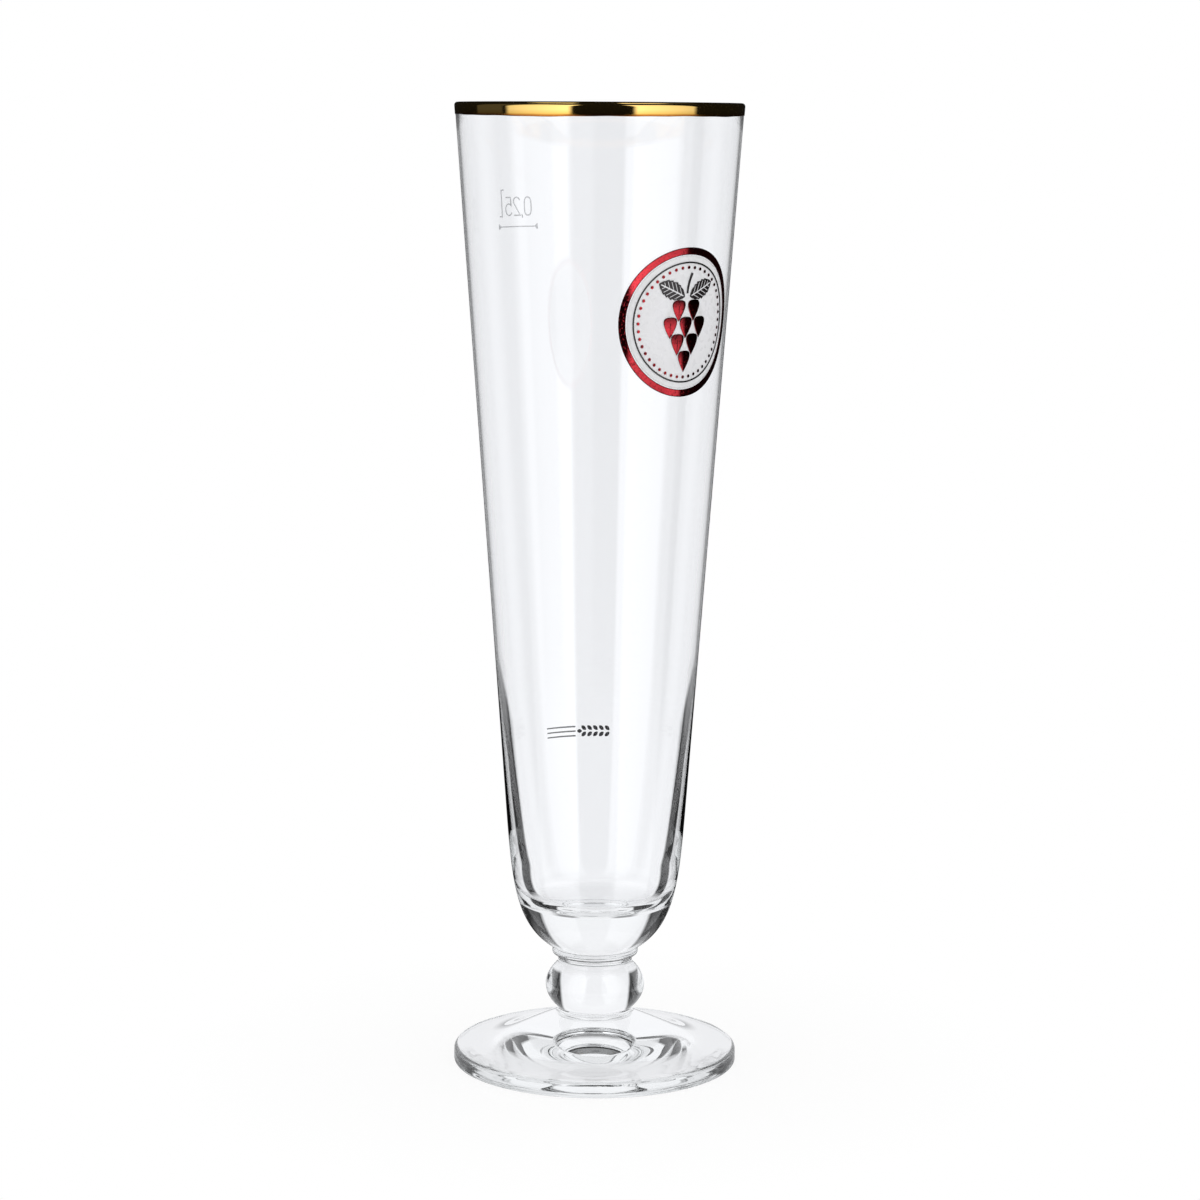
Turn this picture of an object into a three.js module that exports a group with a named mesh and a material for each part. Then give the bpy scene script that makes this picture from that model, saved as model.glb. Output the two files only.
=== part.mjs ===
// A tall conical beer glass on a short stem with a ball knop and a flared disc foot.
// The lip carries a fired gold band, and the wall carries printed enamel marks.
// Millimetres, +Z up. The origin is the centre of the foot's resting plane.

import * as THREE from 'three';
import { TessellateModifier } from 'three/addons/modifiers/TessellateModifier.js';

// Foot: a pressed disc that flares up to the collar under the stem
const footRadius = 32.35;
const footHeight = 11.2;
const footEdge = 3.55;
const footTopRound = 1.0;
const footBottomRound = 0.5;
const footEdgePull = 9;
const footEdgeSlope = THREE.MathUtils.degToRad(2);
const footCollarPull = 11.5;
const footCollarSlope = THREE.MathUtils.degToRad(22);
const footRingWidth = 4;
const footHollowDepth = 3.6;
const footHollowCrown = 0.46;
const footHollowEase = 0.82;

// Stem: a collar, a ball knop, a neck and a thin disc under the bowl
const neckRadius = 8.45;
const collarLength = 1.3;
const knopSwell = 2.85;
const knopHeight = 10.4;
const neckLength = 1.8;
const seatStep = 0.85;
const mereseLip = 0.55;
const mereseHeight = 1.7;

// Bowl: a straight cone that rounds into a thick solid base
const bowlHeight = 191.6;
const rimRadius = 32.05;
const shoulderHeight = 37.6;
const shoulderRadius = 20.81;
const shoulderPull = 22;
const seatPull = 11;
const seatSlope = THREE.MathUtils.degToRad(30);
const rimWall = 1.2;
const innerShoulderHeight = 68.6;
const innerShoulderWall = 1.85;
const innerPull = 14;
const floorThickness = 10.0;
const cornerHeight = 11.6;
const cornerInset = 5.21;
const cornerLean = THREE.MathUtils.degToRad(12.5);
const cornerRisePull = 9;
const cornerFallPull = 10.6;
const floorPull = 14.2;

// Gold band, folded over the lip
const bandHeight = 2.6;
const bandReturn = 0.8;

// Fired films of gold and enamel lie this far off the glass, and are this thick
const filmGap = 0.05;
const filmThickness = 0.1;

// Round badge on the front right of the wall
const badgeHeading = THREE.MathUtils.degToRad(41);
const badgeBelowRim = 46.8;
const badgeRadius = 16.3;
const borderWidth = 1.6;
const borderGap = 0.15;
const keylineInset = 1.35;
const keylineWidth = 0.35;

// Hop cone in the badge
const hopRows = [2, 3, 2, 1];
const hopTop = 4.9;
const hopRowPitch = 3.7;
const hopScalePitch = 4.2;
const hopScaleLength = 4.7;
const hopScaleWidth = 3.5;
const hopLeafLength = 7.4;
const hopLeafWidth = 4.3;
const hopLeafRise = THREE.MathUtils.degToRad(24);
const hopLeafOffset = 0.7;
const hopStalkLength = 4.4;
const hopStalkWidth = 0.6;
const hopStalkBend = 1.1;

// Ear of barley on the back of the wall, low down
const earHeading = THREE.MathUtils.degToRad(181);
const earAboveShoulder = 8.2;
const grainPairs = 5;
const grainPitch = 1.48;
const grainLength = 1.56;
const grainWidth = 0.9;
const grainLean = THREE.MathUtils.degToRad(42);
const grainRowGap = 0.46;
const tipGrainLength = 1.3;
const awnCount = 3;
const awnLength = 8.0;
const awnWidth = 0.34;
const awnSpacing = 1.1;
const awnClearance = 0.38;

// Fill line on the back left of the wall
const fillHeading = THREE.MathUtils.degToRad(220.7);
const fillAboveFloor = 153.2;
const fillLineLength = 12.2;
const fillLineWidth = 0.26;
const fillTickHeight = 1.2;
const fillTickWidth = 0.3;

// Fineness of the faceted surfaces
const turns = 48;
const longCurveSteps = 10;
const shortCurveSteps = 4;
const printFacet = 3;
const printPasses = 8;
const leafSteps = 4;
const circleSteps = 22;

// Levels and radii that follow from the sizes above
const knopBottom = footHeight + collarLength;
const knopTop = knopBottom + knopHeight;
const mereseBottom = knopTop + neckLength;
const seatLevel = mereseBottom + mereseHeight;
const shoulderLevel = seatLevel + shoulderHeight;
const rimLevel = seatLevel + bowlHeight;
const floorLevel = seatLevel + floorThickness;
const innerShoulderLevel = seatLevel + innerShoulderHeight;
const seatRadius = neckRadius + seatStep;
const knopRadius = neckRadius + knopSwell;
const lipRadius = rimWall / 2;
const lipLevel = rimLevel - lipRadius;
const taper = (rimRadius - shoulderRadius) / (lipLevel - shoulderLevel);
const taperAngle = Math.atan(taper);
const innerRimRadius = rimRadius - rimWall;
const innerShoulderRadius = wallRadius(innerShoulderLevel) - innerShoulderWall;
const innerTaper = (innerRimRadius - innerShoulderRadius) / (lipLevel - innerShoulderLevel);

const glass = new THREE.MeshStandardMaterial({
  color: 0xf2f5f6, roughness: 0.03, metalness: 0, transparent: true, opacity: 0.35,
});
const gold = new THREE.MeshStandardMaterial({ color: 0xd9a441, roughness: 0.12, metalness: 1 });
const redLustre = new THREE.MeshStandardMaterial({ color: 0xa3182f, roughness: 0.25, metalness: 0.6 });
const whiteEnamel = new THREE.MeshStandardMaterial({ color: 0xeeeeee, roughness: 0.3, metalness: 0 });
const blackEnamel = new THREE.MeshStandardMaterial({ color: 0x1d1a1c, roughness: 0.3, metalness: 0 });
const navyEnamel = new THREE.MeshStandardMaterial({ color: 0x14172a, roughness: 0.35, metalness: 0 });
const greyEnamel = new THREE.MeshStandardMaterial({ color: 0xb9bcc2, roughness: 0.6, metalness: 0 });

const part = new THREE.Group();

function addMesh(name, geometry, material) {
  const mesh = new THREE.Mesh(geometry, material);
  mesh.name = name;
  part.add(mesh);
}

// Profiles are points of radius and height
const point = (radius, height) => new THREE.Vector2(radius, height);

// A point some way from another, in a direction
function pulled(from, length, direction) {
  return point(from.x + length * Math.cos(direction), from.y + length * Math.sin(direction));
}

// A smooth curve that leaves and reaches its ends along the two handles
function curved(start, startHandle, endHandle, end) {
  return new THREE.CubicBezierCurve(start, startHandle, endHandle, end).getPoints(longCurveSteps);
}

// An arc of an ellipse between two angles, turning towards the axis or back
function arced(centre, width, height, from, to, steps) {
  const backwards = to < from;
  return new THREE.EllipseCurve(centre.x, centre.y, width, height, from, to, backwards).getPoints(steps);
}

function turned(profile) {
  return new THREE.LatheGeometry(profile, turns).rotateX(Math.PI / 2);
}

// The radius of the straight cone at a height, outside and inside
function wallRadius(level) {
  return shoulderRadius + taper * (level - shoulderLevel);
}

function innerWallRadius(level) {
  return innerRimRadius - innerTaper * (lipLevel - level);
}

function footProfile() {
  const ringRadius = footRadius - footBottomRound;
  const hollowRadius = ringRadius - footRingWidth;
  const topCentre = point(footRadius - footTopRound, footEdge - footTopRound);
  const topTurn = Math.PI / 2 - footEdgeSlope;
  const flareStart = pulled(topCentre, footTopRound, topTurn);
  const flareEnd = point(neckRadius, footHeight);
  return [
    ...curved(
      point(0, footHollowDepth),
      point(hollowRadius * footHollowCrown, footHollowDepth),
      point(hollowRadius * footHollowEase, 0),
      point(hollowRadius, 0),
    ),
    ...arced(point(ringRadius, footBottomRound), footBottomRound, footBottomRound, -Math.PI / 2, 0, 2),
    ...arced(topCentre, footTopRound, footTopRound, 0, topTurn, shortCurveSteps),
    ...curved(
      flareStart,
      pulled(flareStart, footEdgePull, Math.PI - footEdgeSlope),
      pulled(flareEnd, footCollarPull, -footCollarSlope),
      flareEnd,
    ),
    point(0, footHeight),
  ];
}

function stemProfile() {
  const knopTurn = Math.acos(neckRadius / knopRadius);
  const knopHalfHeight = knopHeight / 2 / Math.sin(knopTurn);
  const knopCentre = point(0, knopBottom + knopHeight / 2);
  const mereseReach = seatStep + mereseLip;
  const seatTurn = Math.acos(seatStep / mereseReach);
  const mereseHalfHeight = mereseHeight / (1 + Math.sin(seatTurn));
  const mereseCentre = point(neckRadius, mereseBottom + mereseHalfHeight);
  return [
    point(0, footHeight),
    point(neckRadius, footHeight),
    ...arced(knopCentre, knopRadius, knopHalfHeight, -knopTurn, knopTurn, longCurveSteps),
    ...arced(mereseCentre, mereseReach, mereseHalfHeight, -Math.PI / 2, seatTurn, shortCurveSteps + 1),
    point(0, seatLevel),
  ];
}

function bowlProfile() {
  const seat = point(seatRadius, seatLevel);
  const shoulder = point(shoulderRadius, shoulderLevel);
  const innerShoulder = point(innerShoulderRadius, innerShoulderLevel);
  const corner = point(shoulderRadius - cornerInset, floorLevel + cornerHeight);
  return [
    point(0, seatLevel),
    ...curved(
      seat,
      pulled(seat, seatPull, seatSlope),
      pulled(shoulder, shoulderPull, -Math.PI / 2 - taperAngle),
      shoulder,
    ),
    ...arced(point(rimRadius - lipRadius, lipLevel), lipRadius, lipRadius, 0, Math.PI, shortCurveSteps),
    ...curved(
      innerShoulder,
      pulled(innerShoulder, innerPull, -Math.PI / 2 - Math.atan(innerTaper)),
      pulled(corner, cornerRisePull, Math.PI / 2 - cornerLean),
      corner,
    ),
    ...curved(
      corner,
      pulled(corner, cornerFallPull, -Math.PI / 2 - cornerLean),
      point(floorPull, floorLevel),
      point(0, floorLevel),
    ).slice(1),
  ];
}

// The band's section: up outside, over the lip, down inside, and back along the glass
function bandProfile() {
  const near = filmGap;
  const far = filmGap + filmThickness;
  const bandBottom = rimLevel - bandHeight;
  const returnLevel = lipLevel - bandReturn;
  const lipCentre = point(rimRadius - lipRadius, lipLevel);
  const overLip = (offset, from, to) => (
    arced(lipCentre, lipRadius + offset, lipRadius + offset, from, to, shortCurveSteps)
  );
  return [
    point(wallRadius(bandBottom) + near, bandBottom),
    point(wallRadius(bandBottom) + far, bandBottom),
    ...overLip(far, 0, Math.PI),
    point(innerWallRadius(returnLevel) - far, returnLevel),
    point(innerWallRadius(returnLevel) - near, returnLevel),
    ...overLip(near, Math.PI, 0),
    point(wallRadius(bandBottom) + near, bandBottom),
  ];
}

// A flat outline, extruded to a film and bent round the cone.
// x runs round the wall to the right as seen from outside, y runs up, and lift is off the glass.
function addPrint(name, shape, heading, level, lift, material) {
  const flat = new THREE.ExtrudeGeometry(shape, { depth: filmThickness, bevelEnabled: false });
  const film = new TessellateModifier(printFacet, printPasses).modify(flat);
  const place = film.getAttribute('position');
  const middleRadius = wallRadius(level);
  for (let i = 0; i < place.count; i += 1) {
    const height = level + place.getY(i) * Math.cos(taperAngle);
    const radius = wallRadius(height) + lift + place.getZ(i);
    const angle = heading + place.getX(i) / middleRadius;
    place.setXYZ(i, radius * Math.sin(angle), -radius * Math.cos(angle), height);
  }
  film.computeVertexNormals();
  addMesh(name, film, material);
}

// How a leaf swells: two places along its length, with their reach to the side as a share of its width
const evenSwell = { low: [1 / 4, 2 / 3], high: [3 / 4, 2 / 3] };
const scaleSwell = { low: [-0.03, 0.88], high: [0.55, 0.4] };

// A pointed leaf from a base point, along a direction
function leafShape(base, direction, length, width, swell = evenSwell) {
  const tip = pulled(base, length, direction);
  const side = ([along, across], sign) => (
    pulled(pulled(base, length * along, direction), width * across * sign, direction + Math.PI / 2)
  );
  const right = new THREE.CubicBezierCurve(base, side(swell.low, -1), side(swell.high, -1), tip);
  const left = new THREE.CubicBezierCurve(tip, side(swell.high, 1), side(swell.low, 1), base);
  return new THREE.Shape([...right.getPoints(leafSteps), ...left.getPoints(leafSteps)]);
}

function circlePoints(radius) {
  return arced(point(0, 0), radius, radius, 0, Math.PI * 2, circleSteps);
}

function ringShape(outerRadius, width) {
  const shape = new THREE.Shape(circlePoints(outerRadius));
  shape.holes.push(new THREE.Path(circlePoints(outerRadius - width)));
  return shape;
}

function barShape(left, right, middle, width) {
  const low = middle - width / 2;
  const high = middle + width / 2;
  return new THREE.Shape([point(left, low), point(right, low), point(right, high), point(left, high)]);
}

// A curved stem with square ends, leaning to the right at its top
function stalkShape(low, high, width, bend) {
  const half = width / 2;
  const middle = (low + high) / 2;
  const shape = new THREE.Shape();
  shape.moveTo(-half, low);
  shape.lineTo(half, low);
  shape.quadraticCurveTo(half, middle, bend + half, high);
  shape.lineTo(bend - half, high);
  shape.quadraticCurveTo(-half, middle, -half, low);
  return shape;
}

function addBadge() {
  const level = rimLevel - badgeBelowRim;
  const fieldRadius = badgeRadius - borderWidth - borderGap;
  const onField = filmGap + filmThickness + filmGap;
  addPrint('badge_border', ringShape(badgeRadius, borderWidth), badgeHeading, level, filmGap, redLustre);
  const field = new THREE.Shape(circlePoints(fieldRadius));
  addPrint('badge_field', field, badgeHeading, level, filmGap, whiteEnamel);

  const overlay = (name, shape, material) => addPrint(name, shape, badgeHeading, level, onField, material);
  overlay('badge_keyline', ringShape(fieldRadius - keylineInset, keylineWidth), blackEnamel);

  let scaleNumber = 0;
  hopRows.forEach((count, row) => {
    for (let i = 0; i < count; i += 1) {
      const base = point((i - (count - 1) / 2) * hopScalePitch, hopTop - row * hopRowPitch);
      scaleNumber += 1;
      const scale = leafShape(base, -Math.PI / 2, hopScaleLength, hopScaleWidth, scaleSwell);
      overlay(`hop_scale_${scaleNumber}`, scale, redLustre);
    }
  });

  const leafLevel = hopTop + hopLeafOffset;
  const rightLeaf = leafShape(point(hopLeafOffset, leafLevel), hopLeafRise, hopLeafLength, hopLeafWidth);
  const leftDirection = Math.PI - hopLeafRise;
  const leftLeaf = leafShape(point(-hopLeafOffset, leafLevel), leftDirection, hopLeafLength, hopLeafWidth);
  overlay('hop_leaf_right', rightLeaf, blackEnamel);
  overlay('hop_leaf_left', leftLeaf, blackEnamel);

  const stalkLow = leafLevel + hopLeafOffset;
  const stalk = stalkShape(stalkLow, stalkLow + hopStalkLength, hopStalkWidth, hopStalkBend);
  overlay('hop_stalk', stalk, blackEnamel);
}

function addBarley() {
  const level = shoulderLevel + earAboveShoulder;
  const put = (name, shape) => addPrint(name, shape, earHeading, level, filmGap, navyEnamel);
  const earStart = -grainPairs * grainPitch / 2;
  for (let i = 0; i < grainPairs; i += 1) {
    const x = earStart + i * grainPitch;
    const upper = leafShape(point(x, grainRowGap / 2), grainLean, grainLength, grainWidth);
    const lower = leafShape(point(x, -grainRowGap / 2), -grainLean, grainLength, grainWidth);
    put(`barley_grain_upper_${i + 1}`, upper);
    put(`barley_grain_lower_${i + 1}`, lower);
  }
  const tipStart = earStart + grainPairs * grainPitch - grainRowGap;
  put('barley_grain_tip', leafShape(point(tipStart, 0), 0, tipGrainLength, grainWidth));

  const awnStart = tipStart + tipGrainLength + awnClearance;
  for (let i = 0; i < awnCount; i += 1) {
    const middle = ((awnCount - 1) / 2 - i) * awnSpacing;
    put(`barley_awn_${i + 1}`, barShape(awnStart, awnStart + awnLength, middle, awnWidth));
  }
}

// A level line whose two ends flare into ticks
function addFillLine() {
  const end = fillLineLength / 2;
  const tick = end - fillTickWidth;
  const thin = fillLineWidth / 2;
  const tall = fillTickHeight / 2;
  const flare = tick - (tall - thin);
  const right = [
    point(flare, -thin),
    point(tick, -tall),
    point(end, -tall),
    point(end, tall),
    point(tick, tall),
    point(flare, thin),
  ];
  const left = right.map((corner) => point(-corner.x, -corner.y));
  const line = new THREE.Shape([...right, ...left]);
  addPrint('fill_line', line, fillHeading, floorLevel + fillAboveFloor, filmGap, greyEnamel);
}

addMesh('foot', turned(footProfile()), glass);
addMesh('stem', turned(stemProfile()), glass);
addMesh('bowl', turned(bowlProfile()), glass);
addMesh('rim_gold_band', turned(bandProfile()), gold);
addBadge();
addBarley();
addFillLine();

export default part;
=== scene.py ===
"""Looks of a tall conical beer glass on a knopped stem and a disc foot, with a gold rim and enamel prints.

Metres, +Z up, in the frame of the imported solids. Headings are turned from the front (-Y) towards +X.
"""

import math

import bpy
import numpy as np
from bpy.props import FloatProperty, FloatVectorProperty, IntProperty, PointerProperty
from bpy.types import Operator, Panel, PropertyGroup
from mathutils import Matrix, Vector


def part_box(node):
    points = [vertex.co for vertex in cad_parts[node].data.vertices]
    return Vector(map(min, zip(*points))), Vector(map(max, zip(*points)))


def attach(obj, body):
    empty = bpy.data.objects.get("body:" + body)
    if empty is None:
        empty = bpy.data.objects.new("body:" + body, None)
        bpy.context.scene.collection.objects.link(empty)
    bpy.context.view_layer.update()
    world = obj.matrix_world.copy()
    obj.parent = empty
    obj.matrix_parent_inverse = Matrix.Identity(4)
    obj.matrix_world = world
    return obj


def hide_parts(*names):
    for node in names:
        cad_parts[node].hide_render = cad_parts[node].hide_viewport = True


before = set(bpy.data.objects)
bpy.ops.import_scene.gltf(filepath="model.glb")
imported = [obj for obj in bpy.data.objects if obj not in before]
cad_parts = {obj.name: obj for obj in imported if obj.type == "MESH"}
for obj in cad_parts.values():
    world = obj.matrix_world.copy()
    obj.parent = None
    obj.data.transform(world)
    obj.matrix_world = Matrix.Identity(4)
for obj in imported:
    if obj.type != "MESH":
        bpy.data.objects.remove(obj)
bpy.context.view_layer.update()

bl_info = {
    "name": "Footed beer glass",
    "version": (1, 0, 0),
    "blender": (4, 5, 0),
    "location": "View3D > Sidebar > Beer Glass",
    "description": "Builds the glass body, its gold rim, its enamel prints and a small studio",
    "category": "Object",
}

MM = 0.001
DEGREES = 180 / math.pi
PLAIN_WHITE = (1.0, 1.0, 1.0)
_, FOOT_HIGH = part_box("foot")
_, STEM_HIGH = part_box("stem")
BOWL_LOW, BOWL_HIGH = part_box("bowl")


# Property helpers

def length(name, description, default):
    """A length in metres."""
    return FloatProperty(name=name, description=description, default=default, unit="LENGTH", precision=5)


def angle(name, description, degrees):
    """An angle, kept in radians."""
    return FloatProperty(name=name, description=description, default=math.radians(degrees), subtype="ANGLE")


def share(name, description, default):
    """A plain number."""
    return FloatProperty(name=name, description=description, default=default, precision=4)


def colour(name, description, default):
    """A linear colour."""
    return FloatVectorProperty(
        name=name, description=description, default=default, subtype="COLOR", size=3, min=0.0, max=1.0,
    )


def count(name, description, default):
    """A whole number."""
    return IntProperty(name=name, description=description, default=default, min=1)


class GlassSizes(PropertyGroup):
    """Sizes of the fused glass body."""

    foot_radius: length("Foot radius", "Half the width of the disc foot", FOOT_HIGH[0])
    foot_height: length("Foot height", "Level where the flare meets the stem", FOOT_HIGH[2])
    foot_edge: length("Foot edge", "Height of the foot's rim", 3.55 * MM)
    foot_top_round: length("Foot top round", "Rounding of the upper edge", 1.0 * MM)
    foot_bottom_round: length("Foot bottom round", "Rounding of the lower edge", 0.5 * MM)
    foot_edge_pull: length("Edge pull", "How far the flare stays flat from the edge", 9 * MM)
    foot_edge_slope: angle("Edge slope", "Rise of the flare at the edge", 2)
    foot_collar_pull: length("Collar pull", "How far the flare stays steep from the stem", 11.5 * MM)
    foot_collar_slope: angle("Collar slope", "Fall of the flare at the stem", 22)
    foot_ring: length("Resting ring", "Width of the flat ring that the glass stands on", 4 * MM)
    foot_hollow: length("Foot hollow", "Depth of the hollow under the foot", 3.6 * MM)
    foot_hollow_crown: share("Hollow crown", "Flat middle of the hollow, as a share of its radius", 0.46)
    foot_hollow_ease: share("Hollow ease", "Start of its ease into the ring, as a share of its radius", 0.82)
    foot_ripple: length("Foot ripple", "Unevenness of the pressed foot's top", 0.05 * MM)
    neck_radius: length("Neck radius", "Half the width of the collar and the neck", 8.45 * MM)
    collar: length("Collar", "Length of the collar under the knop", 1.3 * MM)
    knop_radius: length("Knop radius", "Half the width of the ball knop", STEM_HIGH[0])
    knop_height: length("Knop height", "Height of the ball knop", 10.4 * MM)
    neck: length("Neck", "Length of the neck over the knop", 1.8 * MM)
    seat_step: length("Seat step", "How far the bowl's seat stands out from the neck", 0.85 * MM)
    merese_lip: length("Merese lip", "How far the thin disc stands out from the seat", 0.55 * MM)
    seat_level: length("Seat level", "Level where the bowl meets the stem", BOWL_LOW[2])
    rim_level: length("Rim level", "Level of the lip", BOWL_HIGH[2])
    rim_radius: length("Rim radius", "Half the width of the mouth, outside", BOWL_HIGH[0])
    shoulder_height: length("Shoulder height", "Where the cone meets the base, over the seat", 37.6 * MM)
    shoulder_radius: length("Shoulder radius", "Half the width at the shoulder", 20.81 * MM)
    shoulder_pull: length("Shoulder pull", "Roundness of the base at the shoulder", 22 * MM)
    seat_pull: length("Seat pull", "Roundness of the base at the seat", 11 * MM)
    seat_slope: angle("Seat slope", "Rise of the base at the seat", 30)
    rim_wall: length("Rim wall", "Thickness of the lip", 1.2 * MM)
    inner_height: length("Inner shoulder", "Where the inside leaves its cone, over the seat", 68.6 * MM)
    inner_wall: length("Inner wall", "Thickness of the wall there", 1.85 * MM)
    inner_pull: length("Inner pull", "How far the inside stays straight below that", 14 * MM)
    floor_thickness: length("Floor thickness", "Solid glass over the seat", 10.0 * MM)
    corner_height: length("Corner height", "Where the inside turns in, over the floor", 11.6 * MM)
    corner_inset: length("Corner inset", "How far that lies inside the shoulder's radius", 5.21 * MM)
    corner_lean: angle("Corner lean", "Lean of the inside there", 12.5)
    corner_rise: length("Corner rise", "Roundness of the corner, upwards", 9 * MM)
    corner_fall: length("Corner fall", "Roundness of the corner, downwards", 10.6 * MM)
    floor_pull: length("Floor pull", "How far the floor stays flat", 14.2 * MM)
    turns: count("Turns", "Columns of faces round the axis", 240)


class BandSizes(PropertyGroup):
    """Sizes of the gold band and of every fired film."""

    height: length("Band height", "Depth of the gold outside", 2.6 * MM)
    inside: length("Band return", "Depth of the gold inside the lip", 0.8 * MM)
    waver: length("Edge waver", "Unevenness of the brushed lower edge", 0.07 * MM)
    film_gap: length("Film gap", "Space between the glass and a film", 0.04 * MM)
    film: length("Film", "Thickness of a film", 0.08 * MM)


class BadgeSizes(PropertyGroup):
    """Sizes of the round badge with the hop cone."""

    heading: angle("Heading", "Where the badge lies round the wall", 41)
    below_rim: length("Below rim", "Distance of its centre from the lip", 46.8 * MM)
    radius: length("Radius", "Half the width of the badge", 16.3 * MM)
    border: length("Border", "Width of the lustre border", 1.6 * MM)
    border_gap: length("Border gap", "Space between the border and the field", 0.15 * MM)
    keyline_inset: length("Keyline inset", "Distance of the thin ring from the field's edge", 1.35 * MM)
    keyline: length("Keyline", "Width of the thin ring", 0.35 * MM)
    bead_count: count("Beads", "Number of beads inside the thin ring", 44)
    bead: length("Bead", "Radius of a bead", 0.36 * MM)
    bead_inset: length("Bead inset", "Distance of the beads from the field's edge", 2.6 * MM)
    hop_top: length("Hop top", "Where the top row of scales starts, over the centre", 4.9 * MM)
    row_pitch: length("Row pitch", "Distance between the rows of scales", 3.7 * MM)
    scale_pitch: length("Scale pitch", "Distance between the scales of a row", 4.2 * MM)
    scale_length: length("Scale length", "Length of a hop scale", 4.7 * MM)
    scale_width: length("Scale width", "Width of a hop scale", 3.5 * MM)
    leaf_length: length("Leaf length", "Length of a hop leaf", 7.4 * MM)
    leaf_width: length("Leaf width", "Width of a hop leaf", 4.3 * MM)
    leaf_rise: angle("Leaf rise", "How far the leaves point upwards", 24)
    leaf_offset: length("Leaf offset", "Distance of the leaves from the stalk's foot", 0.7 * MM)
    stalk_length: length("Stalk length", "Height of the stalk", 4.4 * MM)
    stalk_width: length("Stalk width", "Width of the stalk", 0.6 * MM)
    stalk_bend: length("Stalk bend", "How far the stalk's tip leans over", 1.1 * MM)


class BarleySizes(PropertyGroup):
    """Sizes of the printed ear of barley."""

    heading: angle("Heading", "Where the ear lies round the wall", 181)
    above_shoulder: length("Above shoulder", "Level of the ear over the shoulder", 8.2 * MM)
    pairs: count("Pairs", "Pairs of grains", 5)
    pitch: length("Pitch", "Distance between the pairs", 1.48 * MM)
    grain_length: length("Grain length", "Length of a grain", 1.56 * MM)
    grain_width: length("Grain width", "Width of a grain", 0.9 * MM)
    lean: angle("Lean", "How far the grains spread from the ear's line", 42)
    row_gap: length("Row gap", "Space between the two rows", 0.46 * MM)
    tip_length: length("Tip length", "Length of the last grain", 1.3 * MM)
    awns: count("Awns", "Number of awns", 3)
    awn_length: length("Awn length", "Length of an awn", 8.0 * MM)
    awn_width: length("Awn width", "Width of an awn", 0.34 * MM)
    awn_spacing: length("Awn spacing", "Distance between the awns", 1.1 * MM)
    awn_clearance: length("Awn clearance", "Space between the last grain and the awns", 0.38 * MM)


class FillSizes(PropertyGroup):
    """Sizes of the fill line and of the capacity figures over it."""

    heading: angle("Heading", "Where the mark lies round the wall", 220.7)
    above_floor: length("Above floor", "Level of the line over the inside floor", 153.2 * MM)
    line_length: length("Line length", "Length of the line", 12.2 * MM)
    line_width: length("Line width", "Width of the line", 0.26 * MM)
    tick_height: length("Tick height", "Height of the flared ends", 1.2 * MM)
    tick_width: length("Tick width", "Width of the flared ends", 0.3 * MM)
    figure_rise: length("Figure rise", "Distance of the figures' foot from the line", 2.4 * MM)
    figure_height: length("Figure height", "Height of a figure", 4.4 * MM)
    figure_width: length("Figure width", "Width of a figure", 2.2 * MM)
    stroke: length("Stroke", "Width of a figure's stroke", 0.3 * MM)


class Finishes(PropertyGroup):
    """Colours of the glass, the gold and the enamels."""

    glass: colour("Glass", "Tint of the glass surface", (0.992, 0.996, 1.0))
    glass_depth: colour("Glass depth", "Tint of thick glass", (0.80, 0.835, 0.83))
    gold: colour("Gold", "Fired gold", (1.0, 0.68, 0.22))
    # Painted shade: the gold is painted this deeper colour towards its lower edge, as if its top caught more
    # light.
    gold_painted_shade: colour("Deep gold", "Gold towards its lower edge", (0.72, 0.39, 0.06))
    gold_thin: colour("Thin gold", "Gold where it thins out at its edge", (0.40, 0.12, 0.02))
    lustre: colour("Lustre", "Red metallic lustre", (0.66, 0.048, 0.062))
    # Also the colour of the painted shade at the base of each hop scale.
    lustre_dark: colour("Lustre dark", "Darker grain of the lustre", (0.07, 0.008, 0.010))
    white: colour("White", "White enamel", (0.80, 0.80, 0.82))
    black: colour("Black", "Black enamel", (0.014, 0.011, 0.012))
    vein: colour("Vein", "Veins on the black leaves", (0.78, 0.78, 0.80))
    navy: colour("Navy", "Dark navy enamel", (0.004, 0.005, 0.016))
    grey: colour("Grey", "Pale grey enamel", (0.82, 0.83, 0.85))


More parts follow.
